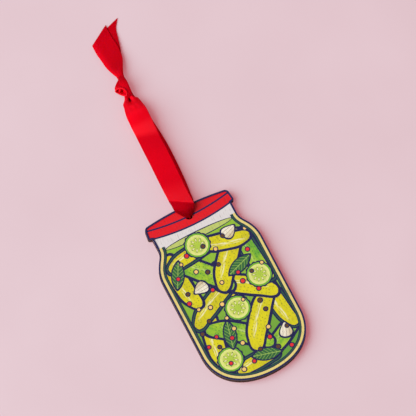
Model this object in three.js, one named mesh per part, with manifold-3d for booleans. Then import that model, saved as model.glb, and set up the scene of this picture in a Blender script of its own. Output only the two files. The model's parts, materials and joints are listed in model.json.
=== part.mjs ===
// Jar-shaped hanging ornament: a laser-cut plywood board with a printed front, on a loop of satin ribbon.
// It lies on its back. The jar stands up along +Y, its printed face is +Z, and the origin is the middle
// of the board's back face. Millimetres.
import * as THREE from 'three';
import { mergeVertices } from 'three/addons/utils/BufferGeometryUtils.js';
import Module from 'manifold-3d';

const wasm = await Module();
wasm.setup();

// Board outline
const JAR_HEIGHT = 88.9;
const JAR_WIDTH = 50.8;
const LID_TOP_WIDTH = 42.4;
const LID_FOOT_WIDTH = 43.8;
const LID_CROWN = 1.7;
const LID_CROWN_SPREAD = 10;
const LID_SIDE = 5.6;
const LID_TOP_ROUND = 1.6;
const LID_FOOT_ROUND = 0.8;
const LID_UNDERCUT = 0.5;
const NECK_WIDTH = 40.2;
const NECK_HEIGHT = 6.0;
const SHOULDER_HEIGHT = 15.2;
const SHOULDER_NECK_PULL = 4.4;
const SHOULDER_SIDE_PULL = 9;
const BASE_RISE = 21;
const BASE_SIDE_PULL = 13;
const BASE_FOOT_PULL = 15.5;

// Board thickness, ply by ply, and the print on it
const BACK_PLY = 0.8;
const CORE_PLY = 1.4;
const FRONT_PLY = 0.8;
const PRINT_THICKNESS = 0.1;

// Hole for the ribbon, below the crown of the lid
const HOLE_RADIUS = 2.0;
const HOLE_DEPTH = 4.9;

// Ribbon
const RIBBON_WIDTH = 10;
const RIBBON_THICKNESS = 0.25;
const RIBBON_CLEARANCE = 0.2;
const GATHER_CLEARANCE = 0.25;
const GATHER_WRAP = 4.6;
const JOINT_GAP = 0.3;
const RIDGE_HEIGHT = 4.3;
const RIDGE_SKEW = -0.53;
const CREASE_SKEW = -0.28;

// Knot, from the hole along the loop
const LOOP_LENGTH = 63.6;
const KNOT_LENGTH = 9.9;
const KNOT_HEIGHT = 4.2;
const UPPER_TAIL_LENGTH = 22.9;
const LOWER_TAIL_LENGTH = 25.1;
const UPPER_CUT = 0.557;
const LOWER_CUT = 0.33;

// Counts
const CURVE_STEPS = 20;
const HOLE_STEPS = 32;
const STRIP_STEPS = 14;

// Levels and places that follow from the sizes
const CORE_BACK = BACK_PLY;
const CORE_FRONT = CORE_BACK + CORE_PLY;
const WOOD_FRONT = CORE_FRONT + FRONT_PLY;
const BOARD_FRONT = WOOD_FRONT + PRINT_THICKNESS;
const HOLE_Y = JAR_HEIGHT / 2 - HOLE_DEPTH;
const BACK_RUN_Z = -(RIBBON_CLEARANCE + RIBBON_THICKNESS / 2);
const REST_Z = BACK_RUN_Z - RIBBON_THICKNESS / 2;
const GATHER_RADIUS = HOLE_RADIUS - GATHER_CLEARANCE - RIBBON_THICKNESS / 2;
const GATHER_WIDTH = GATHER_RADIUS * GATHER_WRAP;
const KNOT_START = HOLE_Y + LOOP_LENGTH;
const KNOT_END = KNOT_START + KNOT_LENGTH;
const KNOT_MIDDLE_Z = REST_Z + KNOT_HEIGHT / 2;

const WOOD = { color: 0xc99f68, roughness: 0.75, metalness: 0 };
const CORE_WOOD = { color: 0xa9814f, roughness: 0.8, metalness: 0 };
const PRINT = { color: 0xc9c925, roughness: 0.55, metalness: 0 };
const SATIN = { color: 0xd8061f, roughness: 0.4, metalness: 0 };

const group = new THREE.Group();

function add(name, geometry, finish) {
  const mesh = new THREE.Mesh(geometry, new THREE.MeshStandardMaterial(finish));
  mesh.name = name;
  group.add(mesh);
}

// Rounds a corner of the outline over the same distance on both sides of it
function roundCorner(path, from, corner, to, round) {
  const into = from.clone().sub(corner).setLength(round).add(corner);
  const out = to.clone().sub(corner).setLength(round).add(corner);
  path.lineTo(into.x, into.y);
  path.quadraticCurveTo(corner.x, corner.y, out.x, out.y);
}

// Right half of the jar, from the lid's crown round to the middle of the base
function halfOutline() {
  const top = JAR_HEIGHT / 2;
  const side = JAR_WIDTH / 2;
  const neck = NECK_WIDTH / 2;
  const lidTop = new THREE.Vector2(LID_TOP_WIDTH / 2, top - LID_CROWN);
  const lidFoot = new THREE.Vector2(LID_FOOT_WIDTH / 2, lidTop.y - LID_SIDE);
  const underLid = new THREE.Vector2(neck, lidFoot.y - LID_UNDERCUT);
  const neckFoot = underLid.y - NECK_HEIGHT;
  const shoulder = neckFoot - SHOULDER_HEIGHT;
  const path = new THREE.Path();
  path.moveTo(0, top);
  const crownEnd = new THREE.Vector2(lidTop.x - LID_TOP_ROUND, lidTop.y + LID_CROWN / 4);
  path.bezierCurveTo(LID_CROWN_SPREAD, top, crownEnd.x - LID_CROWN_SPREAD / 2, crownEnd.y + LID_CROWN / 3,
    crownEnd.x, crownEnd.y);
  roundCorner(path, crownEnd, lidTop, lidFoot, LID_TOP_ROUND);
  roundCorner(path, lidTop, lidFoot, underLid, LID_FOOT_ROUND);
  path.lineTo(underLid.x, underLid.y);
  path.lineTo(neck, neckFoot);
  path.bezierCurveTo(neck, neckFoot - SHOULDER_NECK_PULL, side, shoulder + SHOULDER_SIDE_PULL, side, shoulder);
  path.lineTo(side, BASE_RISE - top);
  path.bezierCurveTo(side, BASE_RISE - BASE_SIDE_PULL - top, BASE_FOOT_PULL, -top, 0, -top);
  return path.getPoints(CURVE_STEPS);
}

function jarShape() {
  const right = halfOutline();
  const left = right.slice(1, -1).reverse().map((point) => new THREE.Vector2(-point.x, point.y));
  const shape = new THREE.Shape([...right, ...left]);
  const hole = new THREE.Path();
  hole.absarc(0, HOLE_Y, HOLE_RADIUS, 0, 2 * Math.PI, false);
  shape.holes.push(new THREE.Path(hole.getSpacedPoints(HOLE_STEPS).slice(0, -1)));
  return shape;
}

function layer(name, bottom, top, finish) {
  const sheet = new THREE.ExtrudeGeometry(jarShape(), { depth: top - bottom, bevelEnabled: false });
  sheet.translate(0, 0, bottom);
  add(name, sheet, finish);
}

// Joins rings of points, all of one count, into one closed body. A cap closes a ring across its two
// long sides, the first half of its points facing the second half.
function loft(rings) {
  const count = rings[0].length;
  const positions = [];
  const faces = [];
  rings.forEach((ring) => ring.forEach((point) => positions.push(point.x, point.y, point.z)));
  for (let r = 0; r + 1 < rings.length; r += 1) {
    for (let i = 0; i < count; i += 1) {
      const a = r * count + i;
      const b = r * count + ((i + 1) % count);
      faces.push(a, b, b + count, a, b + count, a + count);
    }
  }
  const last = (rings.length - 1) * count;
  for (let i = 0; i + 1 < count / 2; i += 1) {
    const j = count - 1 - i;
    faces.push(i, j, j - 1, i, j - 1, i + 1);
    faces.push(last + i, last + j - 1, last + j, last + i, last + i + 1, last + j - 1);
  }
  const body = new THREE.BufferGeometry();
  body.setAttribute('position', new THREE.Float32BufferAttribute(positions, 3));
  body.setIndex(faces);
  body.computeVertexNormals();
  return body;
}

// One ring round the ribbon: its face from left to right edge, then its underside back again.
// The edges curl away from the face by half of wrap each. Yaw turns the width in plan, and lean
// is how far the ribbon's course leans from upright, 90 degrees where it lies flat.
function stripRing(middle, { width, wrap, yaw, lean }) {
  const across = new THREE.Vector3(Math.cos(yaw), Math.sin(yaw), 0);
  const course = THREE.MathUtils.degToRad(lean);
  const along = new THREE.Vector3(0, Math.sin(course), Math.cos(course));
  const up = new THREE.Vector3().crossVectors(across, along).normalize();
  const curl = Math.max(wrap, 1e-3) / width;
  const face = [];
  const underside = [];
  for (let i = 0; i <= STRIP_STEPS; i += 1) {
    const turn = curl * width * (i / STRIP_STEPS - 0.5);
    const out = up.clone().multiplyScalar(Math.cos(turn)).addScaledVector(across, Math.sin(turn));
    const centre = middle.clone().addScaledVector(across, Math.sin(turn) / curl)
      .addScaledVector(up, (Math.cos(turn) - 1) / curl);
    face.push(centre.clone().addScaledVector(out, RIBBON_THICKNESS / 2));
    underside.unshift(centre.addScaledVector(out, -RIBBON_THICKNESS / 2));
  }
  return [...face, ...underside];
}

// A stretch of ribbon through stations [x, y, z, width, wrap, yaw, lean], smoothed and sampled evenly
function ribbon(name, stations, steps) {
  const curve = (...keys) => new THREE.CatmullRomCurve3(
    stations.map((station) => new THREE.Vector3(...keys.map((key) => station[key]))));
  const route = curve(0, 1, 2);
  const spread = curve(3, 4, 5);
  const course = curve(6, 6, 6);
  const rings = [];
  for (let i = 0; i <= steps; i += 1) {
    const t = i / steps;
    const { x: width, y: wrap, z: yaw } = spread.getPoint(t);
    rings.push(stripRing(route.getPoint(t), { width, wrap, yaw, lean: course.getPoint(t).x }));
  }
  add(name, loft(rings), SATIN);
}

// Out of the hole, up over a slanting ridge above the lid's edge, then down to the knot
function frontRun() {
  const tip = HOLE_Y - GATHER_RADIUS;
  const ridge = BOARD_FRONT + RIDGE_HEIGHT;
  const end = KNOT_START - JOINT_GAP;
  const slant = RIBBON_WIDTH / Math.cos(RIDGE_SKEW);
  const creased = RIBBON_WIDTH / Math.cos(CREASE_SKEW);
  ribbon('ribbon_front_run', [
    [0, tip, RIBBON_CLEARANCE / 2, GATHER_WIDTH, GATHER_WRAP, 0, 0],
    [0, tip, BOARD_FRONT / 2, GATHER_WIDTH, GATHER_WRAP, 0, 0],
    [0, tip, BOARD_FRONT, GATHER_WIDTH, GATHER_WRAP, 0, 0],
    [0, tip, BOARD_FRONT + 0.35, GATHER_WIDTH, GATHER_WRAP, 0, 5],
    [0, tip + 0.5, BOARD_FRONT + 1.05, 0.62 * RIBBON_WIDTH, 3.6, -0.02, 38],
    [-0.1, tip + 1.4, BOARD_FRONT + 1.85, 0.66 * RIBBON_WIDTH, 2.1, -0.08, 58],
    [-0.5, tip + 2.6, BOARD_FRONT + 2.4, 0.76 * RIBBON_WIDTH, 1.7, -0.2, 63],
    [-0.95, tip + 4.1, BOARD_FRONT + 2.9, 0.93 * RIBBON_WIDTH, 1.0, -0.32, 64],
    [-0.9, tip + 5.9, ridge - 0.75, 1.02 * RIBBON_WIDTH, 0.5, -0.44, 65],
    [-0.8, tip + 7.5, ridge - 0.13, slant, 0.25, RIDGE_SKEW, 68],
    [-0.77, tip + 8.1, ridge, slant, 0.2, RIDGE_SKEW, 82],
    [-0.8, tip + 10.5, ridge - 0.15, 1.1 * RIBBON_WIDTH, 0.25, -0.4, 95],
    [-0.7, tip + 15.5, ridge - 0.35, RIBBON_WIDTH, 0.25, -0.12, 93],
    [-0.4, tip + 23, ridge - 0.8, RIBBON_WIDTH, 0.2, 0, 94],
    [-0.05, tip + 33, ridge - 1.5, RIBBON_WIDTH, 0.2, -0.05, 94],
    [0.1, tip + 41, ridge - 2.15, creased, 0.2, CREASE_SKEW, 95],
    [0.15, tip + 43, ridge - 2.27, creased, 0.2, CREASE_SKEW, 91],
    [0.2, tip + 46, ridge - 2.25, RIBBON_WIDTH, 0.2, -0.2, 90],
    [0.25, end - 13, ridge - 2.35, RIBBON_WIDTH, 0.3, 0, 92],
    [0.35, end - 8, ridge - 2.75, 0.95 * RIBBON_WIDTH, 0.7, 0, 98],
    [0.55, end - 4, ridge - 3.75, 0.86 * RIBBON_WIDTH, 1.2, 0, 108],
    [0.9, end - 1.5, KNOT_MIDDLE_Z + 1, 0.7 * RIBBON_WIDTH, 1.7, 0, 110],
    [1.3, end, KNOT_MIDDLE_Z + 0.6, 0.52 * RIBBON_WIDTH, 2.2, 0, 92],
  ], 66);
}

// Flat under the board from the hole to the knot
function backRun() {
  const tip = HOLE_Y - GATHER_RADIUS;
  const end = KNOT_START - JOINT_GAP;
  ribbon('ribbon_back_run', [
    [0, tip, BACK_RUN_Z, 2 * GATHER_RADIUS, 0, 0, 90],
    [0.1, tip + 2.5, BACK_RUN_Z, 0.46 * RIBBON_WIDTH, 0, 0, 90],
    [0.7, tip + 7, BACK_RUN_Z, 0.86 * RIBBON_WIDTH, 0, 0, 90],
    [1.5, tip + 13, BACK_RUN_Z, RIBBON_WIDTH, 0, 0, 90],
    [2.4, tip + 26, BACK_RUN_Z, RIBBON_WIDTH, 0, 0, 90],
    [2.6, tip + 38, BACK_RUN_Z, RIBBON_WIDTH, 0, 0, 90],
    [2.0, end - 14, BACK_RUN_Z, RIBBON_WIDTH, 0, 0, 90],
    [1.4, end - 7, BACK_RUN_Z + 0.15, 0.96 * RIBBON_WIDTH, 0.1, 0, 87],
    [1.2, end - 3, BACK_RUN_Z + 0.6, 0.76 * RIBBON_WIDTH, 0.3, 0, 80],
    [1.4, end, BACK_RUN_Z + 1.1, 0.46 * RIBBON_WIDTH, 0.5, 0, 85],
  ], 30);
}

// The two tails leave the knot together, fan apart and end in a slanting cut
function tails() {
  const start = KNOT_END + JOINT_GAP;
  const upperEnd = start + UPPER_TAIL_LENGTH;
  const lowerEnd = start + LOWER_TAIL_LENGTH;
  const tailZ = REST_Z + RIBBON_THICKNESS;
  ribbon('ribbon_tail_upper', [
    [2.4, start, tailZ + 2.3, 0.33 * RIBBON_WIDTH, 1.2, 0.05, 94],
    [2.3, start + 3, tailZ + 2, 0.49 * RIBBON_WIDTH, 1.0, 0.1, 95],
    [2.45, start + 8, tailZ + 1.5, 0.79 * RIBBON_WIDTH, 0.7, 0.2, 95],
    [2.5, start + 13, tailZ + 1.2, 0.97 * RIBBON_WIDTH, 0.4, 0.3, 93],
    [2.5, start + 17.5, tailZ + 1, RIBBON_WIDTH / Math.cos(0.45), 0.25, 0.45, 92],
    [2.55, upperEnd, tailZ + 0.85, RIBBON_WIDTH / Math.cos(UPPER_CUT), 0.15, UPPER_CUT, 91],
  ], 20);
  ribbon('ribbon_tail_lower', [
    [2.4, start, tailZ + 0.9, 0.34 * RIBBON_WIDTH, 0.8, 0, 93],
    [3.2, start + 3.5, tailZ + 0.4, 0.48 * RIBBON_WIDTH, 0.6, -0.1, 95],
    [3.9, start + 8.5, tailZ + 0.15, 0.74 * RIBBON_WIDTH, 0.3, -0.15, 92],
    [4.2, start + 13.5, tailZ, 0.92 * RIBBON_WIDTH, 0.1, -0.2, 90],
    [5.4, start + 18.5, tailZ, 0.92 * RIBBON_WIDTH, 0.05, -0.1, 90],
    [6.9, start + 22, tailZ, 0.86 * RIBBON_WIDTH, 0.05, 0.1, 90],
    [9.2, lowerEnd, tailZ, RIBBON_WIDTH, 0.05, LOWER_CUT, 90],
  ], 22);
}

// A crushed stretch of ribbon in the knot: an oval section, flat to its sides, along points
function strand(points, halfAcross, halfHigh, steps) {
  const route = new THREE.CatmullRomCurve3(points.map((p) => new THREE.Vector3(...p)));
  const high = new THREE.Vector3(0, 0, 1);
  const rings = [];
  for (let i = 0; i <= steps; i += 1) {
    const middle = route.getPoint(i / steps);
    const along = route.getTangent(i / steps);
    const across = new THREE.Vector3().crossVectors(along, high).normalize();
    const up = new THREE.Vector3().crossVectors(across, along);
    const ring = [];
    for (let k = 0; k < STRIP_STEPS; k += 1) {
      const turn = Math.PI - (2 * Math.PI * (k + 0.5)) / STRIP_STEPS;
      ring.push(middle.clone().addScaledVector(across, halfAcross * Math.cos(turn))
        .addScaledVector(up, halfHigh * Math.sin(turn)));
    }
    rings.push(ring);
  }
  return toSolid(loft(rings));
}

function toSolid(geometry) {
  geometry.deleteAttribute('normal');
  const merged = mergeVertices(geometry);
  return new wasm.Manifold(new wasm.Mesh({
    numProp: 3,
    vertProperties: new Float32Array(merged.attributes.position.array),
    triVerts: new Uint32Array(merged.index.array),
  }));
}

function toGeometry(solid) {
  const mesh = solid.getMesh();
  const geometry = new THREE.BufferGeometry();
  geometry.setAttribute('position', new THREE.Float32BufferAttribute(mesh.vertProperties, 3));
  geometry.setIndex([...mesh.triVerts]);
  geometry.computeVertexNormals();
  return geometry;
}

// One overhand knot in both runs: a core, a strap over its right side that leads to the tails,
// and the loop that goes round, which stands out to the left
function knot() {
  const y = KNOT_START;
  const end = KNOT_END;
  const z = KNOT_MIDDLE_Z;
  const core = strand([[1.4, y, z - 0.3], [1.5, y + 3, z - 0.4], [1.8, end - 3.4, z - 0.4],
    [2.2, end, z - 0.4]], 1.8, 1.35, 8);
  const strap = strand([[2.2, y, z - 0.2], [2.2, y + 2.5, z + 0.7], [2.1, y + 5.5, z + 1.2],
    [2.3, end - 2.2, z + 0.9], [2.2, end, z + 0.1]], 1.6, 0.85, 12);
  const ear = strand([[1.7, end - 0.9, z - 0.1], [-0.6, end - 1.9, z], [-2.3, end - 4.3, z],
    [-1.7, y + 3.4, z], [-0.1, y + 1.5, z - 0.1], [2.2, y + 1.4, z - 0.2]], 0.65, 1.9, 18);
  const ring = strand([[0.2, y + 1.6, z], [1.1, y + 3.1, z + 0.2], [0.5, y + 5, z + 0.2],
    [-1, y + 5, z]], 0.6, 1.75, 10);
  add('ribbon_knot', toGeometry(core.add(strap).add(ear).add(ring)), SATIN);
}

layer('ply_back', 0, CORE_BACK, WOOD);
layer('ply_core', CORE_BACK, CORE_FRONT, CORE_WOOD);
layer('ply_front', CORE_FRONT, WOOD_FRONT, WOOD);
layer('print_film', WOOD_FRONT, BOARD_FRONT, PRINT);
frontRun();
backRun();
knot();
tails();

export default group;
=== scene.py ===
# Hanging jar ornament: a laser-cut plywood board with a printed front, on a loop of satin ribbon.
# Metres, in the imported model's frame. The jar stands up along +Y and its printed face is +Z.
import json
import math
import random

import bmesh
import bpy
from mathutils import Matrix, Vector


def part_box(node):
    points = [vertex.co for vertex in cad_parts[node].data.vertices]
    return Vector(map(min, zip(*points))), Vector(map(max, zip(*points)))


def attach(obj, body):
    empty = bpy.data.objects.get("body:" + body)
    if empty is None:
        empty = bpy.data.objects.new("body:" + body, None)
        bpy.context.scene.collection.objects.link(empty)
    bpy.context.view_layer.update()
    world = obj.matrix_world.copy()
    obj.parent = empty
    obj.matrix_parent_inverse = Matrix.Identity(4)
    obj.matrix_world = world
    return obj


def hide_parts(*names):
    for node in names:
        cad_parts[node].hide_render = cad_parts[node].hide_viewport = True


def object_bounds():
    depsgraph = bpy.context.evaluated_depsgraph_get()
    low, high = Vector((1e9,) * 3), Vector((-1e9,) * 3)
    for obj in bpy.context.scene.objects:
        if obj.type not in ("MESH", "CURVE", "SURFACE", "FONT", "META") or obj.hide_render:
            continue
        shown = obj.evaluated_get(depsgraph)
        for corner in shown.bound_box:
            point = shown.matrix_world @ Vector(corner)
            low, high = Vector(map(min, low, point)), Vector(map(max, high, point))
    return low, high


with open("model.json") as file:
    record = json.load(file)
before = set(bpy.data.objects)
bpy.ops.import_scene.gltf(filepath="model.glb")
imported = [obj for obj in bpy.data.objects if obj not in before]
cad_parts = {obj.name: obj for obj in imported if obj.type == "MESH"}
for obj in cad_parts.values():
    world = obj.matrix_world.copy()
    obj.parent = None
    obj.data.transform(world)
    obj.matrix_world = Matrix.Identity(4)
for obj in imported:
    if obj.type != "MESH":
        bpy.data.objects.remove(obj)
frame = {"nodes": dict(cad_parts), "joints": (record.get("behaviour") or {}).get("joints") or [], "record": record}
cad_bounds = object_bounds()

MM = 0.001
FULL_TURN = 2 * math.pi

# The photograph's view of the board
PHOTO_WIDTH = 416
PIXELS_PER_METRE = 2190
BOARD_MIDDLE_PIXEL = (227.9, 289.1)
JAR_TURN = math.radians(26.8)
VIEW_RISE = math.radians(72.5)
CAMERA_AWAY = 8.0
SENSOR_WIDTH = 36
FLOOR_HALF = 2
WORLD_GLOW = 0.22

# Share of the paper's red, green and blue that glows as painted light in the camera's view, which shadows leave
# alone
PAPER_EVEN = (0.55, 0.13, 0.15)

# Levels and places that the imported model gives
FLOOR_Z = cad_bounds[0].z
FILM_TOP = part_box("print_film")[1].z
HOLE = Vector(frame["joints"][0]["pos_m"])
RUN_END_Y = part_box("ribbon_front_run")[1].y
PACKED_GAP = 0.3 * MM
KNOT_START_Y = RUN_END_Y + PACKED_GAP
TAIL_START_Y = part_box("ribbon_tail_upper")[0].y

# Ribbon: places along its cloth are in millimetres from the loop's ridge station
RIBBON_WIDTH = 10 * MM
RIBBON_THICKNESS = 0.25 * MM
GATHER_RADIUS = 1.625 * MM
RING_SPACING = 0.45 * MM
ACROSS_STEPS = 36
PLEATS = 3
RIDGE_HEIGHT = 4.3 * MM
RIDGE_SKEW = -0.53
UPPER_CUT = 0.557
RIDGE_STATION = 22
FLOAT_SPACING = 0.14
PICK_SPACING = 0.32
CREASE_CLOTH = 34.5
HOLLOW_CLOTH = 55.5
TAIL_CLOTH_START = 170
FOLD_CLOTH_START = 30
FOLD_STEPS = 48

# How the knot rides above the paper: heights, and places along the jar's Y in millimetres
KNOT_LIFT = 2.0 * MM
RUNS_PART_Z = 2 * MM
FRONT_RUN_RISE_Y = 58
BACK_RUN_RISE_Y = 81
KNOT_RAISED_Y = 101
TAIL_FALL_Y = 116
TAIL_DOWN_Y = 138

# Print, in millimetres on the board's face
INK_STEP = 0.01
EDGE_LINE = 0.85
DRAWN_LINE = 0.8
SKIN_LINE = 1.3
RIM_Y = 39.2
RIM_BOW = 2.1 / 20.6 ** 2
HEM_Y = 34.7
HEM_BOW = 2.1 / 20.2 ** 2
GLASS_TOP = 31.2
NECK_MIDDLE = 33.0
BRINE_TOP = 29.6
OUTLINE_STEP = 0.5
GLASS_LINES = ((1, 1.15), (0, 0.4), (2, 0.5), (0, 0.4))
GHERKIN_CURL = 0.008
SLICE_RADIUS = 6.3
LEAF_LENGTH = 15
TOP_LEVEL = 24
RING_STEP = 0.1


def srgb(red, green, blue):
    """Linear colour from red, green and blue as they are written for a screen, from 0 to 255."""
    def linear(part):
        part /= 255
        return part / 12.92 if part <= 0.04045 else ((part + 0.055) / 1.055) ** 2.4
    return (linear(red), linear(green), linear(blue), 1)


PAPER_PINK = srgb(226, 200, 207)
NAVY = srgb(24, 26, 80)
LID_RED = srgb(228, 3, 24)
NECK_WHITE = srgb(226, 220, 218)
GLASS_CREAM = srgb(236, 216, 128)
DARK_GREEN = srgb(38, 88, 62)
BRINE_GREEN = srgb(150, 194, 52)
PICKLE_YELLOW = srgb(226, 216, 18)
PICKLE_GREEN = srgb(122, 186, 48)
SEED_CREAM = srgb(255, 208, 118)
BERRY_RED = srgb(236, 44, 46)
BERRY_BROWN = srgb(98, 64, 34)


# Camera, floor and lamps

def photo_directions():
    """The photograph's right and up in the board's plane, and the way from the board to the camera."""
    right = Vector((math.cos(JAR_TURN), -math.sin(JAR_TURN), 0))
    up = Vector((math.sin(JAR_TURN), math.cos(JAR_TURN), 0))
    back = -math.cos(VIEW_RISE) * up + Vector((0, 0, math.sin(VIEW_RISE)))
    return right, up, back


def make_camera():
    right, up, back = photo_directions()
    aside = (PHOTO_WIDTH / 2 - BOARD_MIDDLE_PIXEL[0]) / PIXELS_PER_METRE
    above = (BOARD_MIDDLE_PIXEL[1] - PHOTO_WIDTH / 2) / PIXELS_PER_METRE / math.sin(VIEW_RISE)
    target = right * aside + up * above + Vector((0, 0, FILM_TOP))
    lens = bpy.data.cameras.new("photo_camera")
    lens.sensor_fit = "HORIZONTAL"
    lens.sensor_width = SENSOR_WIDTH
    lens.lens = SENSOR_WIDTH * CAMERA_AWAY * PIXELS_PER_METRE / PHOTO_WIDTH
    lens.clip_start = 0.01
    camera = bpy.data.objects.new("photo_camera", lens)
    bpy.context.scene.collection.objects.link(camera)
    turned = Matrix((right, back.cross(right), back)).transposed().to_4x4()
    camera.matrix_world = Matrix.Translation(target + back * CAMERA_AWAY) @ turned
    bpy.context.scene.camera = camera


def soft_lamp(name, aside, above, rise, away, size, power):
    """A square lamp aimed at the ornament's middle, its way given in the photograph's directions."""
    right, up, _ = photo_directions()
    middle = (cad_bounds[0] + cad_bounds[1]) / 2
    way = (right * aside + up * above).normalized() * math.cos(rise) + Vector((0, 0, math.sin(rise)))
    light = bpy.data.lights.new(name, "AREA")
    light.size = size
    light.energy = power
    lamp = bpy.data.objects.new(name, light)
    lamp.visible_camera = False
    facing = way.to_track_quat("Z", "Y").to_matrix().to_4x4()
    lamp.matrix_world = Matrix.Translation(middle + way * away) @ facing
    bpy.context.scene.collection.objects.link(lamp)


def light_scene():
    soft_lamp("window", aside=-1, above=-0.28, rise=math.radians(44), away=4.0, size=4.4, power=252)
    world = bpy.data.worlds.new("studio")
    world.use_nodes = True
    tree = world.node_tree
    shown = add(tree, "ShaderNodeBackground", {"Color": PAPER_PINK, "Strength": 1})
    glow = add(tree, "ShaderNodeBackground", {"Color": (1, 0.9, 0.92, 1), "Strength": WORLD_GLOW})
    seen = add(tree, "ShaderNodeLightPath", {}).outputs["Is Camera Ray"]
    mixed = add(tree, "ShaderNodeMixShader", {0: seen, 1: glow.outputs[0], 2: shown.outputs[0]})
    tree.links.new(mixed.outputs[0], tree.nodes["World Output"].inputs["Surface"])
    bpy.context.scene.world = world
    bpy.context.scene.view_settings.view_transform = "Standard"


# Finishes

def add(tree, kind, values, **settings):
    """A node of that kind, with each socket in values set to a number or linked to another socket."""
    node = tree.nodes.new(kind)
    for setting, value in settings.items():
        setattr(node, setting, value)
    for socket, value in values.items():
        if isinstance(value, bpy.types.NodeSocket):
            tree.links.new(value, node.inputs[socket])
        else:
            node.inputs[socket].default_value = value
    return node


def new_finish(name, roughness, **sockets):
    """A material with a Principled shader, whose even numbers sit on the shader's own sockets."""
    material = bpy.data.materials.new(name)
    material.use_nodes = True
    shader = material.node_tree.nodes["Principled BSDF"]
    shader.inputs["Roughness"].default_value = roughness
    for socket, value in sockets.items():
        shader.inputs[socket.replace("_", " ")].default_value = value
    return material, material.node_tree, shader


def maths(tree, operation, first, second=0.0, third=0.0):
    node = add(tree, "ShaderNodeMath", {0: first, 1: second, 2: third}, operation=operation)
    return node.outputs[0]


def mix(tree, factor, first, second, blend="MIX"):
    node = add(tree, "ShaderNodeMix", {0: factor, 6: first, 7: second}, data_type="RGBA", blend_type=blend)
    return node.outputs[2]


def ramp(tree, factor, stops):
    node = add(tree, "ShaderNodeValToRGB", {0: factor})
    while len(node.color_ramp.elements) < len(stops):
        node.color_ramp.elements.new(0.5)
    for element, (place, colour) in zip(node.color_ramp.elements, stops):
        element.position = place
        element.color = colour
    return node.outputs[0]


def between(tree, value, low, high):
    """0 below low, 1 above high and smooth between them."""
    node = add(tree, "ShaderNodeMapRange", {"Value": value, "From Min": low, "From Max": high},
               interpolation_type="SMOOTHSTEP")
    return node.outputs[0]


def object_place(tree, stretch=(1, 1, 1)):
    """Object coordinates in millimetres, stretched along each axis."""
    place = add(tree, "ShaderNodeTexCoord", {}).outputs["Object"]
    scale = tuple(part / MM for part in stretch)
    return add(tree, "ShaderNodeMapping", {"Vector": place, "Scale": scale}).outputs[0]


def noise(tree, place, scale, detail=3.0, roughness=0.5):
    node = add(tree, "ShaderNodeTexNoise",
               {"Vector": place, "Scale": scale, "Detail": detail, "Roughness": roughness})
    return node.outputs[0]


def relief(tree, shader, height, depth):
    """Bumps of that depth, in metres, where height is 1."""
    bump = add(tree, "ShaderNodeBump", {"Height": height, "Distance": depth, "Strength": 1.0})
    tree.links.new(bump.outputs[0], shader.inputs["Normal"])


def paper_finish():
    """Matt pink paper. In the picture a share of its colour is its own light, which softens the shadows."""
    material, tree, shader = new_finish("pink_paper", 0.85, Specular_IOR_Level=0.2)
    place = object_place(tree)
    blotch = noise(tree, place, 0.02, 2)
    tint = ramp(tree, blotch, [(0.3, srgb(225, 198, 205)), (0.7, srgb(228, 202, 209))])
    seen = add(tree, "ShaderNodeLightPath", {}).outputs["Is Camera Ray"]
    shaded = mix(tree, 1.0, tint, (*(1 - share for share in PAPER_EVEN), 1), "MULTIPLY")
    tree.links.new(mix(tree, seen, tint, shaded), shader.inputs["Base Color"])
    painted_glow = mix(tree, 1.0, tint, (*PAPER_EVEN, 1), "MULTIPLY")
    tree.links.new(painted_glow, shader.inputs["Emission Color"])
    tree.links.new(seen, shader.inputs["Emission Strength"])
    relief(tree, shader, noise(tree, place, 3.5, 4, 0.6), 0.01 * MM)
    return material


def wood_finish(name, pale, dark, grain_along, charred):
    """Birch with fine grain on its faces, and laser-charred with soot streaks on its cut edge."""
    material, tree, shader = new_finish(name, 0.7, Specular_IOR_Level=0.25)
    stretch = (1, 0.05, 1) if grain_along == "Y" else (0.05, 1, 1)
    fibres = noise(tree, object_place(tree, stretch), 2.2, 5, 0.6)
    bands = noise(tree, object_place(tree, stretch), 0.22, 2)
    streak = maths(tree, "ADD", maths(tree, "MULTIPLY", fibres, 0.45), maths(tree, "MULTIPLY", bands, 0.55))
    face = ramp(tree, streak, [(0.36, dark), (0.62, pale)])
    pores = between(tree, noise(tree, object_place(tree, (1, 0.04, 1)), 5.5, 2), 0.64, 0.72)
    face = mix(tree, pores, face, dark)
    normal = add(tree, "ShaderNodeTexCoord", {}).outputs["Normal"]
    upright = maths(tree, "ABSOLUTE", add(tree, "ShaderNodeSeparateXYZ", {0: normal}).outputs["Z"])
    is_edge = maths(tree, "LESS_THAN", upright, 0.5)
    soot = noise(tree, object_place(tree, (1, 1, 0.12)), 2.4, 4, 0.65)
    edge = ramp(tree, soot, [(0.34, charred[0]), (0.66, charred[1])])
    tree.links.new(mix(tree, is_edge, face, edge), shader.inputs["Base Color"])
    relief(tree, shader, maths(tree, "ADD", fibres, maths(tree, "MULTIPLY", soot, is_edge)), 0.03 * MM)
    return material


def wood_pores(tree):
    """Fine pores and grain of the veneer, which show through the ink, from 0 to 1."""
    fine = between(tree, noise(tree, object_place(tree, (1, 0.1, 1)), 3.2, 3), 0.54, 0.72)
    coarse = noise(tree, object_place(tree, (1, 0.25, 1)), 1.3, 3)
    return fine, coarse


def ink_finish(name, draw, grain=0.35, roughness=0.42):
    """Satin ink over birch. draw(tree) gives its colour socket, and grain how far the pores darken it."""
    material, tree, shader = new_finish(name, roughness, Specular_IOR_Level=0.4)
    fine, coarse = wood_pores(tree)
    colour = draw(tree)
    shade = maths(tree, "SUBTRACT", 1.0, maths(tree, "MULTIPLY", fine, grain))
    shade = maths(tree, "MULTIPLY", shade, between(tree, coarse, -0.9, 0.55))
    dimmed = add(tree, "ShaderNodeVectorMath", {0: colour, "Scale": shade}, operation="SCALE").outputs[0]
    tree.links.new(dimmed, shader.inputs["Base Color"])
    relief(tree, shader, maths(tree, "SUBTRACT", coarse, fine), 0.02 * MM)
    return material


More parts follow.
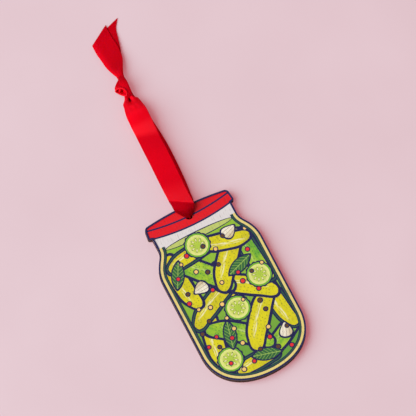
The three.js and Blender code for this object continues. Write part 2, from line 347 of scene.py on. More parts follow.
def flat_colour(colour):
    def draw(tree):
        return mix(tree, noise(tree, object_place(tree), 0.35, 2), colour, tuple(0.93 * c for c in colour))
    return draw


def satin_finish():
    """Polyester satin: fine floats along the ribbon, and a dull woven selvedge at each edge.

    Its tone along the cloth carries painted highlights and painted shade, where the satin turns towards the light
    and away from it.
    """
    material, tree, shader = new_finish("red_satin", 0.58, Metallic=0.4, Specular_IOR_Level=0.3,
                                        Anisotropic=0.88, Specular_Tint=(1, 0.01, 0.03, 1),
                                        Subsurface_Weight=0.5, Subsurface_Radius=(1, 0.02, 0.05),
                                        Subsurface_Scale=0.8 * MM)
    cloth = add(tree, "ShaderNodeUVMap", {}, uv_map="cloth").outputs[0]
    parts = add(tree, "ShaderNodeSeparateXYZ", {0: cloth})
    across, along = parts.outputs[0], parts.outputs[1]

    def reached(place, full):
        return between(tree, along, place, full)

    edge = maths(tree, "ABSOLUTE", maths(tree, "SUBTRACT", across, RIBBON_WIDTH / MM / 2))
    selvedge = between(tree, edge, 4.62, 4.8)
    floats = maths(tree, "SINE", maths(tree, "MULTIPLY", across, FULL_TURN / FLOAT_SPACING))
    picks = maths(tree, "SINE", maths(tree, "MULTIPLY", along, FULL_TURN / PICK_SPACING))
    stretched = add(tree, "ShaderNodeMapping", {"Vector": cloth, "Scale": (6, 0.7, 1)}).outputs[0]
    uneven = noise(tree, stretched, 1.0, 3)
    tone = ramp(tree, uneven, [(0.3, srgb(208, 2, 24)), (0.7, srgb(224, 5, 30))])
    tone = mix(tree, maths(tree, "MULTIPLY", selvedge, 0.6), tone, srgb(190, 4, 24))

    # The loop: painted highlights past the ridge, at the crease and before the knot, with an even tone down the
    # run between them
    past_ridge = reached(-0.5, 0.3)
    by_ridge = maths(tree, "MULTIPLY", past_ridge, maths(tree, "SUBTRACT", 1.0, reached(2, 12)))
    painted_highlight = maths(tree, "MAXIMUM", by_ridge, reached(CREASE_CLOTH, CREASE_CLOTH + 4))
    tone = mix(tree, painted_highlight, tone, srgb(243, 25, 42))
    tone = mix(tree, reached(CREASE_CLOTH + 6, CREASE_CLOTH + 10), tone, srgb(232, 4, 28))
    tone = mix(tree, reached(HOLLOW_CLOTH - 10, HOLLOW_CLOTH - 4), tone, srgb(252, 12, 36))
    # Painted shade where the cloth gathers into the hole, darker deeper in
    gathered = mix(tree, reached(-8, -1), srgb(152, 0, 15), srgb(180, 1, 20))
    tone = mix(tree, past_ridge, gathered, tone)
    # The run underneath, painted lighter where it lies in the front run's shadow
    tone = mix(tree, reached(-20, -14), srgb(232, 8, 32), tone)

    # The strap and the tails: darker, with a painted highlight along one edge
    strap_end = reached(TAIL_CLOTH_START + 15, TAIL_CLOTH_START + 22)
    tail = mix(tree, strap_end, srgb(208, 3, 25), srgb(194, 2, 22))
    painted_edge_highlight = maths(tree, "MULTIPLY", reached(TAIL_CLOTH_START + 11, TAIL_CLOTH_START + 15),
                     maths(tree, "SUBTRACT", 1.0, between(tree, across, 0.3, 3.2)))
    tail = mix(tree, painted_edge_highlight, tail, srgb(220, 6, 30))
    tone = mix(tree, reached(TAIL_CLOTH_START - 9, TAIL_CLOTH_START - 3), tone, tail)

    # Painted shade at the bottom of the hollow where the run goes into the knot
    shaded = maths(tree, "MULTIPLY", reached(HOLLOW_CLOTH - 1, HOLLOW_CLOTH + 1.5),
                   maths(tree, "SUBTRACT", 1.0, between(tree, edge, 0.8, 2.0)))
    shaded = maths(tree, "MULTIPLY", shaded, maths(tree, "LESS_THAN", along, HOLLOW_CLOTH + 10))
    tone = mix(tree, shaded, tone, srgb(92, 0, 12))
    tree.links.new(tone, shader.inputs["Base Color"])

    weave = maths(tree, "ADD", maths(tree, "MULTIPLY", floats, 0.3), maths(tree, "MULTIPLY", picks, 0.12))
    weave = maths(tree, "ADD", weave, maths(tree, "MULTIPLY", selvedge, 1.5))
    relief(tree, shader, weave, 0.012 * MM)
    tangent = add(tree, "ShaderNodeTangent", {}, direction_type="UV_MAP", uv_map="cloth")
    tree.links.new(tangent.outputs[0], shader.inputs["Tangent"])
    return material


# Board

def dress_board():
    faces = wood_finish("birch_face", srgb(224, 196, 155), srgb(196, 160, 116), "Y",
                        (srgb(38, 23, 19), srgb(104, 66, 48)))
    core = wood_finish("birch_core", srgb(206, 172, 126), srgb(172, 134, 92), "X",
                       (srgb(28, 17, 14), srgb(80, 50, 38)))
    ground = ink_finish("ground_ink", ground_colour)
    finishes = {"ply_back": faces, "ply_core": core, "ply_front": faces, "print_film": ground}
    for node, finish in finishes.items():
        for material_slot in frame["nodes"][node].material_slots:
            material_slot.material = finish


def link_piece(name, bm, finish, body, smooth=False):
    """Makes the piece, with its faces outwards, and lets it ride on its body."""
    bmesh.ops.recalc_face_normals(bm, faces=bm.faces)
    for face in bm.faces:
        face.smooth = smooth
    mesh = bpy.data.meshes.new(name)
    bm.to_mesh(mesh)
    bm.free()
    mesh.materials.append(finish)
    piece = bpy.data.objects.new(name, mesh)
    bpy.context.scene.collection.objects.link(piece)
    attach(piece, body)
    return piece


# Print

def ground_colour(tree):
    """The film's own inks: red lid with the line of its rim, white neck and green brine."""
    parts = add(tree, "ShaderNodeSeparateXYZ", {0: object_place(tree)})
    height = parts.outputs[1]
    bow = maths(tree, "MULTIPLY", parts.outputs[0], parts.outputs[0])
    rim = maths(tree, "SUBTRACT", height, maths(tree, "MULTIPLY_ADD", bow, RIM_BOW, RIM_Y))
    hem = maths(tree, "SUBTRACT", height, maths(tree, "MULTIPLY_ADD", bow, HEM_BOW, HEM_Y))
    depth = maths(tree, "MULTIPLY_ADD", noise(tree, object_place(tree), 0.12, 2), 24, height)
    brine = ramp(tree, between(tree, depth, -36, 40), [(0, srgb(100, 158, 58)), (1, BRINE_GREEN)])
    colour = mix(tree, maths(tree, "GREATER_THAN", height, BRINE_TOP), brine, NECK_WHITE)
    colour = mix(tree, maths(tree, "GREATER_THAN", hem, 0), colour, LID_RED)
    for line in (rim, hem):
        drawn = maths(tree, "LESS_THAN", maths(tree, "ABSOLUTE", line), DRAWN_LINE / 2)
        colour = mix(tree, drawn, colour, NAVY)
    return colour


def drawing_place(tree):
    """A motif's own coordinates in millimetres from its middle, along and across."""
    place = add(tree, "ShaderNodeUVMap", {}, uv_map="drawing").outputs[0]
    parts = add(tree, "ShaderNodeSeparateXYZ", {0: place})
    return place, parts.outputs[0], parts.outputs[1]


def gherkin_colour(shadow, main, dot, streak):
    """Gherkin skin: fine streaks along it, olive dots and one pale broken shine."""
    def draw(tree):
        place, along, across = drawing_place(tree)
        level = maths(tree, "MULTIPLY_ADD", maths(tree, "MULTIPLY", along, along), GHERKIN_CURL, across)
        patchy = noise(tree, object_place(tree), 0.14, 2)
        drawn_out = add(tree, "ShaderNodeMapping", {"Vector": place, "Scale": (0.12, 1, 1)}).outputs[0]
        fibres = noise(tree, drawn_out, 1.6, 3)
        tone = maths(tree, "ADD", maths(tree, "MULTIPLY", patchy, 0.65),
                     maths(tree, "MULTIPLY", fibres, 0.35))
        colour = ramp(tree, tone, [(0.38, shadow), (0.6, main)])
        cells = add(tree, "ShaderNodeTexVoronoi", {"Vector": place, "Scale": 0.6, "Randomness": 0.45},
                    voronoi_dimensions="2D").outputs["Distance"]
        dotted = maths(tree, "MULTIPLY", maths(tree, "LESS_THAN", cells, 0.17),
                       between(tree, noise(tree, object_place(tree), 0.2, 1), 0.36, 0.5))
        colour = mix(tree, maths(tree, "MULTIPLY", dotted, 0.75), colour, dot)
        aside = maths(tree, "ABSOLUTE", maths(tree, "SUBTRACT", level, 1.0))
        shine = maths(tree, "MULTIPLY", maths(tree, "SUBTRACT", 1.0, between(tree, aside, 0.35, 1.0)),
                      between(tree, fibres, 0.42, 0.56))
        near_middle = maths(tree, "SUBTRACT", 1.0, between(tree, maths(tree, "ABSOLUTE", along), 6, 11))
        shine = maths(tree, "MULTIPLY", shine, near_middle)
        return mix(tree, maths(tree, "MULTIPLY", shine, streak), colour, srgb(246, 240, 196))
    return draw


def slice_colour(tree):
    """The cut face of a gherkin: pale flesh round a wetter core with a wheel of seeds."""
    place, along, across = drawing_place(tree)
    radius = add(tree, "ShaderNodeVectorMath", {0: place}, operation="LENGTH").outputs["Value"]
    angle = maths(tree, "ARCTAN2", across, along)
    colour = ramp(tree, maths(tree, "DIVIDE", radius, SLICE_RADIUS),
                  [(0.1, srgb(178, 206, 66)), (0.5, srgb(196, 214, 84)), (0.62, srgb(226, 230, 132)),
                   (0.8, srgb(232, 234, 140))])
    petals = maths(tree, "COSINE", maths(tree, "MULTIPLY", angle, 9))
    reach = maths(tree, "ABSOLUTE", maths(tree, "SUBTRACT", radius, 2.5))
    seed = maths(tree, "SUBTRACT", petals, maths(tree, "MULTIPLY", reach, 0.75))
    colour = mix(tree, between(tree, seed, 0.12, 0.2), colour, srgb(96, 122, 40))
    return mix(tree, between(tree, seed, 0.42, 0.5), colour, srgb(248, 238, 176))


def leaf_colour(tree):
    """A bay leaf, with a pale rib along its middle and slanting veins."""
    _, along, across = drawing_place(tree)
    aside = maths(tree, "ABSOLUTE", across)
    veins = maths(tree, "SINE", maths(tree, "MULTIPLY", maths(tree, "SUBTRACT", along, aside), 3.6))
    marks = maths(tree, "MAXIMUM", maths(tree, "GREATER_THAN", veins, 0.88),
                  maths(tree, "LESS_THAN", aside, 0.2))
    green = mix(tree, noise(tree, object_place(tree), 0.4, 2), srgb(30, 84, 56), srgb(62, 122, 56))
    return mix(tree, marks, green, srgb(146, 182, 84))


def clove_colour(tree):
    """Garlic skin, with a few drawn lines along the clove."""
    _, along, across = drawing_place(tree)
    spread = maths(tree, "DIVIDE", across, maths(tree, "MULTIPLY_ADD", along, -0.07, 1.0))
    lines = maths(tree, "GREATER_THAN", maths(tree, "COSINE", maths(tree, "MULTIPLY", spread, 4.4)), 0.93)
    skin = mix(tree, between(tree, across, -2.6, 1.2), srgb(214, 196, 152), srgb(246, 238, 214))
    return mix(tree, lines, skin, srgb(150, 128, 118))


def swing(angle, part, power):
    """The cosine or sine of the angle, drawn towards its ends, which makes an ellipse fuller."""
    value = part(angle)
    return math.copysign(abs(value) ** power, value)


def gherkin_shape(length, width):
    """Like each outline here, it gives the point at an angle, on a line that runs inset inside its edge."""
    def shape(angle, inset):
        along = (length / 2 - inset) * swing(angle, math.cos, 0.82)
        across = (width / 2 - inset) * swing(angle, math.sin, 0.72) * (1 + 0.035 * math.sin(7 * angle))
        return along, across - GHERKIN_CURL * along ** 2
    return shape


def round_shape(radius, waves=0, depth=0.0):
    def shape(angle, inset):
        reach = radius - inset + depth * max(0, 1 - inset) * math.cos(waves * angle)
        return reach * math.cos(angle), reach * math.sin(angle)
    return shape


def oval_shape(length, width):
    def shape(angle, inset):
        return (length / 2 - inset) * math.cos(angle), (width / 2 - inset) * math.sin(angle)
    return shape


def leaf_shape(length, width):
    def shape(angle, inset):
        return (length / 2 - 2 * inset) * math.cos(angle), (width / 2 - inset) * swing(angle, math.sin, 1.6)
    return shape


def clove_shape(length, width):
    def shape(angle, inset):
        along = math.cos(angle)
        across = (width / 2 - inset) * math.sin(angle) * (1 - 0.55 * along)
        return (length / 2 - 1.4 * inset) * along, across + 0.05 * length * along ** 2
    return shape


def thicken_print(bm, patch, level):
    """Gives a flat patch its thickness, from its own level down to the film."""
    grown = bmesh.ops.extrude_face_region(bm, geom=patch)["geom"]
    lowered = [part for part in grown if isinstance(part, bmesh.types.BMVert)]
    bmesh.ops.translate(bm, vec=(0, 0, -level * INK_STEP * MM), verts=lowered)


def inset_lines(bm, inner, lines):
    """Rings of ink from the outline of a face inwards, each with its ink and its width in millimetres."""
    rings = []
    for ink, width in lines:
        ring = bmesh.ops.inset_region(bm, faces=[inner], thickness=width * MM, use_boundary=True,
                                      use_even_offset=True)["faces"]
        for face in ring:
            face.material_index = ink
        rings += ring
    return rings


def lay_motif(bm, shape, spot, level, lines, fill, steps=40):
    """Prints one motif at spot, an x, a y and a turn in degrees, with its lines round its fill."""
    made = bmesh.ops.create_circle(bm, cap_ends=True, segments=steps, radius=MM)
    inner = made["verts"][0].link_faces[0]
    inner.material_index = fill
    patch = [*inset_lines(bm, inner, [(ink, RING_STEP) for ink, _ in lines]), inner]
    insets = [sum(width for _, width in lines[:count]) for count in range(len(lines) + 1)]
    for vert in {vert for face in patch for vert in face.verts}:
        ring = round((1 - vert.co.length / MM) / RING_STEP)
        vert.co = Vector((*shape(math.atan2(vert.co.y, vert.co.x), insets[ring]), 0)) * MM
    drawing = bm.loops.layers.uv["drawing"]
    for face in patch:
        for loop in face.loops:
            loop[drawing].uv = loop.vert.co.xy / MM
    x, y, turn = spot
    place = Matrix.Translation((x * MM, y * MM, FILM_TOP + level * INK_STEP * MM))
    place = place @ Matrix.Rotation(math.radians(turn), 4, "Z")
    bmesh.ops.transform(bm, matrix=place, verts=list({vert for face in patch for vert in face.verts}))
    thicken_print(bm, patch, level)


def new_print():
    bm = bmesh.new()
    bm.loops.layers.uv.new("drawing")
    return bm


def link_print(name, bm, inks):
    piece = link_piece(name, bm, inks[0], "board")
    for ink in inks[1:]:
        piece.data.materials.append(ink)


def board_face(bm):
    """The outline of the printed face as one face, without the hole, at the level of the top ink."""
    bm.from_mesh(frame["nodes"]["print_film"].data)
    bmesh.ops.remove_doubles(bm, verts=bm.verts, dist=0.001 * MM)
    bmesh.ops.delete(bm, geom=[face for face in bm.faces if face.normal.z < 0.5], context="FACES")
    border = [edge for edge in bm.edges
              if edge.is_boundary and (edge.verts[0].co.xy - HOLE.xy).length > 3 * MM]
    whole = bmesh.ops.edgeloop_fill(bm, edges=border)["faces"][0]
    bmesh.ops.delete(bm, geom=[face for face in bm.faces if face is not whole], context="FACES")
    bmesh.ops.remove_doubles(bm, verts=bm.verts, dist=OUTLINE_STEP * MM)
    bmesh.ops.translate(bm, vec=(0, 0, TOP_LEVEL * INK_STEP * MM), verts=bm.verts)
    return only_face(bm)


def only_face(bm):
    """The one face that is left, turned upwards."""
    bm.faces.ensure_lookup_table()
    face = bm.faces[0]
    face.normal_update()
    if face.normal.z < 0:
        face.normal_flip()
    return face


def print_edge(ink):
    """The navy line round the whole board."""
    bm = new_print()
    whole = board_face(bm)
    inset_lines(bm, whole, [(0, EDGE_LINE)])
    bmesh.ops.delete(bm, geom=[whole], context="FACES")
    thicken_print(bm, list(bm.faces), TOP_LEVEL)
    link_print("printed_edge", bm, [ink])


def print_glass(inks):
    """The cream edge of the glass and its dark inner lines, from the foot of the neck down."""
    bm = new_print()
    board_face(bm)
    bmesh.ops.bisect_plane(bm, geom=[*bm.verts, *bm.edges, *bm.faces], plane_co=(0, NECK_MIDDLE * MM, 0),
                           plane_no=(0, 1, 0), clear_outer=True)
    top = [vert for vert in bm.verts if vert.co.y > (NECK_MIDDLE - 0.01) * MM]
    bmesh.ops.translate(bm, vec=(0, sum(width for _, width in GLASS_LINES) * 2 * MM, 0), verts=top)
    inner = only_face(bm)
    edge = bmesh.ops.inset_region(bm, faces=[inner], thickness=EDGE_LINE * MM, use_boundary=True,
                                  use_even_offset=True)["faces"]
    inset_lines(bm, inner, GLASS_LINES)
    bmesh.ops.delete(bm, geom=[inner, *edge], context="FACES")
    bmesh.ops.bisect_plane(bm, geom=[*bm.verts, *bm.edges, *bm.faces], plane_co=(0, GLASS_TOP * MM, 0),
                           plane_no=(0, 1, 0), clear_outer=True)
    thicken_print(bm, list(bm.faces), TOP_LEVEL)
    link_print("printed_glass", bm, inks)


# Motifs: where each one lies, as x, y and turn in degrees, with a gherkin's length, width and skin
GHERKINS = (
    (0, 2, 92, 26, 10.4, "yellow"), (-3.5, -36.5, 4, 24, 9.8, "yellow"),
    (12, -31, 28, 22, 9.6, "green"), (-16.8, -19.5, 80, 29, 10.4, "yellow"),
    (17.5, -16, 97, 30, 10.4, "yellow"), (-4, -21, -38, 34, 10.8, "green"),
    (6.5, -18.5, 52, 33, 11, "yellow"), (-10, -3, 28, 30, 10.6, "yellow"),
    (9, -2, -33, 31, 10.6, "yellow"), (-18, 12, 95, 31, 10.4, "yellow"),
    (17.5, 9, 95, 31, 10.4, "green"), (-6, 12, -48, 33, 10.8, "green"),
    (6, 13, 50, 33, 11, "yellow"), (-8, 22.5, 8, 28, 9.6, "yellow"),
    (9, 21, 165, 26, 9.6, "yellow"),
)
SLICES = ((-14, -30.5, 10), (0, -10, 50), (16, 0, 0), (-3, 25, 80))
LEAVES = ((2, -35.5, 165), (-17.5, 16, 62), (10, 8, 200), (-9, -20, 76))
CLOVES = ((15, -29, 70), (-11, 6, 190), (13, 24.5, 20))
SPICE_COUNT = 44
SPICE_GAP = 4.4

# Levels of ink, in steps above the film: each motif covers those below it
FIRST_GHERKIN_LEVEL = 2
SLICE_LEVEL = FIRST_GHERKIN_LEVEL + len(GHERKINS)


def print_gherkins(navy, green):
    """Gherkins over one another, every third with a green band inside its line, over the brine."""
    bm = new_print()
    for index, (x, y, turn, length, width, skin) in enumerate(GHERKINS):
        lines = [(0, 0.7), (1, 0.5), (0, 0.6)] if index % 3 == 1 else [(0, SKIN_LINE)]
        fill = 2 if skin == "yellow" else 3
        level = FIRST_GHERKIN_LEVEL + index
        lay_motif(bm, gherkin_shape(length, width), (x, y, turn), level, lines, fill, 56)
    yellow_skin = gherkin_colour(srgb(206, 196, 22), PICKLE_YELLOW, srgb(150, 152, 34), 0.85)
    green_skin = gherkin_colour(srgb(104, 172, 52), srgb(180, 212, 44), srgb(70, 132, 50), 0.3)
    link_print("printed_gherkins", bm, [navy, green, ink_finish("yellow_skin_ink", yellow_skin),
                                        ink_finish("green_skin_ink", green_skin)])
    bm = new_print()
    lay_motif(bm, oval_shape(34.4, 3.8), (0, BRINE_TOP, 0), 1, [(0, 0.5)], 1)
    link_print("printed_brine", bm, [navy, ink_finish("brine_ink", flat_colour(srgb(196, 208, 112)))])


def print_slices(navy):
    bm = new_print()
    for spot in SLICES:
        lay_motif(bm, round_shape(SLICE_RADIUS, 16, 0.22), spot, SLICE_LEVEL, [(0, 0.65), (1, 0.75)], 2, 96)
    link_print("printed_slices", bm, [navy, ink_finish("rind_ink", flat_colour(PICKLE_GREEN)),
                                      ink_finish("slice_ink", slice_colour)])


def print_cloves(navy):
    bm = new_print()
    for spot in CLOVES:
        lay_motif(bm, clove_shape(8.4, 6.2), spot, SLICE_LEVEL + 1, [(0, 0.6)], 1)
    link_print("printed_cloves", bm, [navy, ink_finish("clove_ink", clove_colour)])


def print_leaves(navy):
    bm = new_print()
    for spot in LEAVES:
        lay_motif(bm, leaf_shape(LEAF_LENGTH, 6.4), spot, SLICE_LEVEL + 2, [(0, 0.55)], 1)
    link_print("printed_leaves", bm, [navy, ink_finish("leaf_ink", leaf_colour)])


def print_spices(navy):
    """Mustard seeds and peppercorns scattered over the glass, none closer than SPICE_GAP."""
    draws = random.Random(12)
    spots = []
    while len(spots) < SPICE_COUNT:
        spot = Vector((draws.uniform(-20.5, 20.5), draws.uniform(-38, 26)))
        if all((spot - other).length > SPICE_GAP for other in spots):
            spots.append(spot)
    bm = new_print()
    for index, spot in enumerate(spots):
        shape = round_shape(draws.uniform(1.1, 1.4))
        lay_motif(bm, shape, (*spot, 0), SLICE_LEVEL + 3, [(0, 0.45)], 1 + index % 3, 14)
    link_print("printed_spices", bm, [navy, ink_finish("seed_ink", flat_colour(SEED_CREAM)),
                                      ink_finish("red_berry_ink", flat_colour(BERRY_RED)),
                                      ink_finish("brown_berry_ink", flat_colour(BERRY_BROWN))])


def print_picture():
    navy = ink_finish("navy_ink", flat_colour(NAVY), 0.2)
    cream = ink_finish("cream_ink", flat_colour(GLASS_CREAM))
    green = ink_finish("dark_green_ink", flat_colour(DARK_GREEN), 0.2)
    print_edge(navy)
    print_glass([navy, cream, green])
    print_gherkins(navy, green)
    print_slices(navy)
    print_cloves(navy)
    print_leaves(navy)
    print_spices(navy)


# Satin ribbon

def smooth_course(stations):
    """Stations close together along a smooth course through the chosen ones, each number eased alike."""
    gaps = [max((Vector(b[:3]) - Vector(a[:3])).length, 0.05 * MM) for a, b in zip(stations, stations[1:])]
    rises = [[(q - p) / gap for p, q in zip(a, b)] for a, b, gap in zip(stations, stations[1:], gaps)]
    slopes = [rises[0]]
    for before, after, g0, g1 in zip(rises, rises[1:], gaps, gaps[1:]):
        slopes.append([(p * g1 + q * g0) / (g0 + g1) for p, q in zip(before, after)])
    slopes.append(rises[-1])
    course = []
    for i, gap in enumerate(gaps):
        steps = max(2, round(gap / RING_SPACING))
        for k in range(steps):
            t = k / steps
            ease = (2 * t ** 3 - 3 * t ** 2 + 1, (t ** 3 - 2 * t ** 2 + t) * gap,
                    3 * t ** 2 - 2 * t ** 3, (t ** 3 - t ** 2) * gap)
            parts = zip(stations[i], slopes[i], stations[i + 1], slopes[i + 1])
            course.append([sum(e * p for e, p in zip(ease, four)) for four in parts])
    course.append(list(stations[-1]))
    return course


def ribbon_point(station, side):
    """A point of the ribbon's middle surface at one station, side running from -0.5 to 0.5 across it.

    A pleat above 0 is the depth of several folds, and one below 0 that of one hollow along the middle.
    """
    x, y, z, width, wrap, yaw, lean, pleat = station
    across = Vector((math.cos(yaw), math.sin(yaw), 0))
    along = Vector((0, math.sin(lean), math.cos(lean)))
    face = across.cross(along).normalized()
    curl = max(abs(wrap), 0.001) / width
    turn = curl * width * side
    out = face * math.cos(turn) + across * math.sin(turn)
    centre = Vector((x, y, z)) + across * (math.sin(turn) / curl) + face * ((math.cos(turn) - 1) / curl)
    if pleat < 0:
        return centre + out * pleat * ((1 + math.cos(FULL_TURN * side)) / 2) ** 3
    wave = side + 0.06 * math.sin(FULL_TURN * side) + 0.1 * side * side
    return centre - out * pleat * (1 - math.cos(FULL_TURN * PLEATS * wave)) / 2


def in_metres(station):
    """A station of the lists below, which are in millimetres, with their lean in degrees."""
    x, y, z, width, wrap, yaw, lean, pleat = station
    return x * MM, y * MM, z * MM, width * MM, wrap, yaw, math.radians(lean), pleat * MM


def weave_strip(bm, stations, start, zero=0):
    """One stretch of ribbon through its stations.

    Its cloth map is in millimetres, across and along, and reads start along at the station numbered zero.
    """
    course = smooth_course([in_metres(station) for station in stations])
    made = bmesh.ops.create_grid(bm, x_segments=ACROSS_STEPS, y_segments=len(course) - 1, size=1)
    lengths = [0.0]
    for a, b in zip(course, course[1:]):
        lengths.append(lengths[-1] + (Vector(b[:3]) - Vector(a[:3])).length)
    marked = Vector(stations[zero][:3]) * MM
    nearest = min(range(len(course)), key=lambda row: (Vector(course[row][:3]) - marked).length)
    start = start * MM - lengths[nearest]
    places = {}
    for vert in made["verts"]:
        side = vert.co.x / 2
        row = round((vert.co.y + 1) / 2 * (len(course) - 1))
        places[vert] = ((side + 0.5) * RIBBON_WIDTH / MM, (start + lengths[row]) / MM)
        vert.co = ribbon_point(course[row], side)
    cloth = bm.loops.layers.uv["cloth"]
    for face in {face for vert in made["verts"] for face in vert.link_faces}:
        for loop in face.loops:
            loop[cloth].uv = places[loop.vert]


def loop_stations():
    """From the knot under the board, up through the hole, over the slanting ridge and back to the knot."""
    tip = (HOLE.y - GATHER_RADIUS) / MM
    end = RUN_END_Y / MM
    under = (FLOOR_Z + RIBBON_THICKNESS / 2) / MM
    top = FILM_TOP / MM
    ridge = (FILM_TOP + RIDGE_HEIGHT) / MM
    tube = 4.6
    gathered = GATHER_RADIUS / MM * tube
    full = RIBBON_WIDTH / MM
    wide = 1.03 * full
    slant = full / math.cos(RIDGE_SKEW)
    return [
        (2.2, end + 3, under + 0.5, 3.0, 0.6, 0, -88, 0.2),
        (1.9, end, under + 0.35, 4.2, 0.4, 0, -86, 0.2),
        (1.1, end - 3, under + 0.3, 7.4, 0.3, 0, -84, 0.2),
        (1.0, end - 7, under + 0.15, 9.4, 0.1, 0, -87, 0.05),
        (1.3, end - 14, under, full, 0, 0, -90, 0),
        (2.2, tip + 38, under, full, 0, 0, -90, 0),
        (2.05, tip + 26, under, full, 0, 0, -90, 0),
        (1.15, tip + 13, under, full, 0, 0, -90, 0),
        (0.7, tip + 7, under, 9, 0, 0, -90, 0),
        (0.1, tip + 3.4, under, 5.4, 0.1, 0, -90, 0),
        (0, tip + 1.6, under, 3.2, 0.6, 0, -90, 0.05),
        (0, tip + 0.5, under + 0.15, 4.0, 2.4, 0, -50, 0.1),
        (0, tip, 0.6, gathered, tube, 0, 0, 0.5),
        (0, tip, top / 2, gathered, tube, 0, 0, 0.7),
        (0, tip, top, gathered, tube, 0, 0, 0.7),
        (0, tip, top + 0.35, gathered, tube, 0, 5, 0.6),
        (0, tip + 0.5, top + 1.0, 5.8, 2.8, -0.02, 32, 0.35),
        (-0.1, tip + 1.4, top + 1.6, 5.9, 1.6, -0.08, 58, 0.15),
        (-0.6, tip + 2.6, top + 2.15, 7.2, 1.2, -0.2, 63, 0.05),
        (-1.0, tip + 4.1, top + 2.75, 9.2, 0.6, -0.32, 64, 0),
        (-0.9, tip + 5.9, ridge - 0.85, 10.2, 0.3, -0.44, 65, 0),
        (-0.8, tip + 7.5, ridge - 0.16, slant, 0.1, RIDGE_SKEW, 66, 0),
        (-0.77, tip + 7.9, ridge - 0.03, slant, 0.06, RIDGE_SKEW, 78, 0),
        (-0.77, tip + 8.3, ridge, slant, 0.06, RIDGE_SKEW, 89, 0),
        (-0.8, tip + 10.5, ridge + 0.04, 1.1 * full, 0.06, -0.45, 90, 0),
        (-0.7, tip + 15.5, ridge - 0.12, wide, 0.06, -0.2, 93, 0),
        (-0.4, tip + 23, ridge - 0.65, wide, 0.06, 0, 94, 0),
        (-0.05, tip + 33, ridge - 1.4, wide, 0.06, -0.05, 94.5, 0),
        (0.1, tip + 41, ridge - 2.05, 1.05 * full, 0.06, -0.28, 95, 0),
        (0.15, tip + 43, ridge - 2.15, 1.05 * full, 0.06, -0.28, 91, 0),
        (0.2, tip + 46, ridge - 2.1, wide, 0.18, -0.2, 90, 0),
        (0.45, end - 13, ridge - 2.35, wide, 0.25, 0, 92, 0),
        (0.75, end - 8, ridge - 2.75, 9.9, 0.45, 0, 98, 0),
        (0.95, end - 4, ridge - 3.65, 8.7, 0.9, 0, 106, -0.2),
        (1.05, end - 1.5, ridge - 4.4, 7.7, 1.3, 0, 108, -1.9),
        (1.15, end, 2.5, 5.4, 2.0, 0, 108, -2.0),
        (1.5, end + 2.5, 1.6, 3.2, 2.0, 0, 96, -1.0),
    ]


def upper_tail_stations():
    """The strap over the knot's right side, and the tail that it runs on into."""
    low = KNOT_START_Y / MM
    start = TAIL_START_Y / MM
    rest = (FLOOR_Z + RIBBON_THICKNESS) / MM
    full = RIBBON_WIDTH / MM
    return [
        (2.5, low - 0.8, 1.6, 3.0, 1.2, 0, 55, 0.3),
        (2.0, low + 0.7, 2.65, 3.2, 1.0, 0, 66, 0.1),
        (1.9, low + 3.2, 3.25, 3.5, 0.9, 0, 82, 0.05),
        (2.0, low + 6, 3.35, 3.7, 0.8, 0, 93, 0.03),
        (2.1, low + 8.4, 2.9, 3.4, 0.8, 0, 104, 0.08),
        (2.3, start, rest + 2.3, 3.2, 0.9, 0.05, 96, 0.1),
        (2.45, start + 3, rest + 1.9, 5.4, 1.0, 0.1, 96, 0.05),
        (3.05, start + 8, rest + 0.8, 9.2, 0.4, 0.2, 97, 0),
        (3.05, start + 13, rest + 0.45, 10.5, 0.15, 0.3, 93, 0),
        (2.55, start + 17.5, rest + 0.34, full / math.cos(0.45), 0.04, 0.45, 92, 0),
        (2.55, start + 22.9, rest + 0.3, full / math.cos(UPPER_CUT), 0.03, UPPER_CUT, 91, 0),
    ]


def lower_tail_stations():
    start = TAIL_START_Y / MM
    rest = (FLOOR_Z + RIBBON_THICKNESS) / MM
    return [
        (2.2, start - 5, rest + 0.9, 3.0, 0.8, 0, 92, 0.3),
        (2.4, start, rest + 0.9, 3.4, 0.8, 0, 93, 0.3),
        (2.8, start + 3.5, rest + 0.4, 4.4, 0.6, -0.1, 95, 0.1),
        (3.3, start + 8.5, rest + 0.15, 7.2, 0.3, -0.15, 92, 0),
        (4.0, start + 13.5, rest, 9.3, 0.1, -0.2, 90, 0),
        (5.4, start + 18.5, rest, 9.2, 0.05, -0.1, 90, 0),
        (6.9, start + 22, rest, 8.6, 0.05, 0.1, 90, 0),
        (9.2, start + 25.1, rest, 10.2, 0.05, 0.33, 90, 0),
    ]


def open_fold(bm, rings):
    """A fold with an open mouth, through rings that each have a left, right, top and bottom point."""
    course = smooth_course([[part * MM for point in ring for part in point] for ring in rings])
    made = bmesh.ops.create_grid(bm, x_segments=FOLD_STEPS, y_segments=len(course) - 1, size=1)
    cloth = bm.loops.layers.uv["cloth"]
    places = {}
    for vert in made["verts"]:
        turn = vert.co.x * math.pi
        row = round((vert.co.y + 1) / 2 * (len(course) - 1))
        left, right, top, bottom = (Vector(course[row][k:k + 3]) for k in (0, 3, 6, 9))
        # The cloth places put the rolled lip in the satin's painted highlight at the crease
        places[vert] = (5 + 4 * vert.co.x, FOLD_CLOTH_START + row * RING_SPACING / MM)
        middle = (left + right) / 2
        rise = (top if turn > 0 else bottom) - middle
        vert.co = middle + math.cos(turn) * (right - middle) + abs(math.sin(turn)) * rise
    for face in {face for vert in made["verts"] for face in vert.link_faces}:
        for loop in face.loops:
            loop[cloth].uv = places[loop.vert]
    bmesh.ops.remove_doubles(bm, verts=made["verts"], dist=0.001 * MM)


def rolled_lip(mouth, way):
    """Rings that carry on from a mouth and roll its edge back outwards. way points out of the mouth."""
    middle = sum((Vector(point) for point in mouth), Vector()) / 4
    lip = []
    for ahead, grown in ((0.2, 0.06), (0.34, 0.22), (0.3, 0.42), (0.1, 0.52), (-0.25, 0.54)):
        ring = []
        for point in mouth:
            outwards = (Vector(point) - middle).normalized()
            ring.append(tuple(Vector(point) + Vector(way) * ahead + outwards * grown))
        lip.append(ring)
    return lip


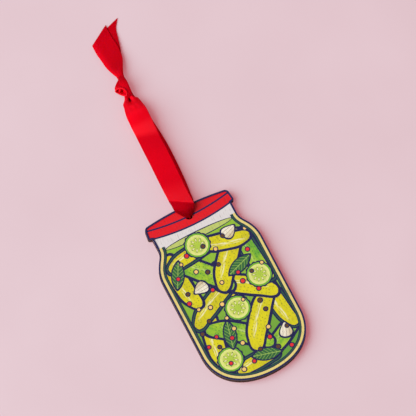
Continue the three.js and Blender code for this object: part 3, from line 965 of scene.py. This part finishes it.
def crushed_cloth(bm, middle, sizes, turn):
    """A packed wad of cloth inside the knot, creased along its length, in millimetres and degrees."""
    place = Matrix.Translation(Vector(middle) * MM) @ Matrix.Rotation(math.radians(turn), 4, "Z")
    place = place @ Matrix.Diagonal((*(size * MM for size in sizes), 1))
    made = bmesh.ops.create_uvsphere(bm, u_segments=28, v_segments=14, radius=1)
    cloth = bm.loops.layers.uv["cloth"]
    for vert in made["verts"]:
        around = math.atan2(vert.co.z, vert.co.x)
        crease = 1 - 0.07 * (1 + math.sin(5 * around + 2 * vert.co.y)) * (1 - vert.co.y ** 2)
        vert.co = place @ Vector((vert.co.x * crease, vert.co.y, vert.co.z * crease))
    for face in {face for vert in made["verts"] for face in vert.link_faces}:
        for loop in face.loops:
            aside = (loop.vert.co.x / MM - middle[0]) / sizes[0]
            loop[cloth].uv = (2 + 3 * aside, loop.vert.co.y / MM)


def knot_folds(bm):
    """What stands out to the knot's left: one fold of cloth, open downwards, and what it holds."""
    low = KNOT_START_Y / MM
    rings = [
        ((0.7, 9.3, 1.6), (2.9, 8.9, 1.6), (1.8, 9.1, 2.4), (1.8, 9.1, 0.8)),
        ((-1.3, 7.8, 1.4), (2.9, 6.6, 1.6), (0.9, 7.1, 2.7), (0.9, 7.3, 0.3)),
        ((-2.6, 6.2, 1.4), (2.6, 3.6, 1.8), (0.7, 5.3, 3.1), (-0.5, 4.8, 0.2)),
        ((-2.6, 5.0, 1.5), (0.5, 1.2, 2.2), (0.3, 4.0, 3.4), (-1.0, 2.85, 1.0)),
    ]
    rings += rolled_lip(rings[-1], (-0.6, -0.7, 0.3))
    open_fold(bm, [[(x, low + y, z) for x, y, z in ring] for ring in rings])
    crushed_cloth(bm, (1.8, low + 5.0, 1.2), (1.5, 5.0, 1.55), 0)
    crushed_cloth(bm, (-0.6, low + 4.8, 1.9), (0.5, 1.4, 1.1), -45)


def raised(point):
    """Lifts the knot off the paper along the line of sight, so that it keeps its place in the view.

    The run under the board rises later, so that it stays clear of the board wherever the loop swings.
    """
    def ease(low, high):
        part = min(1, max(0, (point.y / MM - low) / (high - low)))
        return part * part * (3 - 2 * part)
    _, _, back = photo_directions()
    start = FRONT_RUN_RISE_Y if point.z > RUNS_PART_Z else BACK_RUN_RISE_Y
    lift = ease(start, KNOT_RAISED_Y) - ease(TAIL_FALL_Y, TAIL_DOWN_Y)
    return point + back / back.z * KNOT_LIFT * lift


def finish_ribbon():
    bm = bmesh.new()
    bm.loops.layers.uv.new("cloth")
    weave_strip(bm, loop_stations(), 0, RIDGE_STATION)
    weave_strip(bm, upper_tail_stations(), TAIL_CLOTH_START)
    weave_strip(bm, lower_tail_stations(), TAIL_CLOTH_START + 45)
    knot_folds(bm)
    for vert in bm.verts:
        vert.co = raised(vert.co)
    piece = link_piece("satin_ribbon", bm, satin_finish(), "ribbon", smooth=True)
    thick = piece.modifiers.new("cloth_thickness", "SOLIDIFY")
    thick.thickness = RIBBON_THICKNESS
    thick.offset = 0
    nodes = frame["record"]["behaviour"]["bodies"]["ribbon"]
    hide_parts(*nodes)


def make_floor():
    bm = bmesh.new()
    bmesh.ops.create_grid(bm, x_segments=1, y_segments=1, size=FLOOR_HALF)
    bmesh.ops.translate(bm, vec=(0, 0, FLOOR_Z), verts=bm.verts)
    mesh = bpy.data.meshes.new("paper_floor")
    bm.to_mesh(mesh)
    bm.free()
    mesh.materials.append(paper_finish())
    floor = bpy.data.objects.new("paper_floor", mesh)
    bpy.context.scene.collection.objects.link(floor)


make_camera()
light_scene()
make_floor()
dress_board()
print_picture()
finish_ribbon()
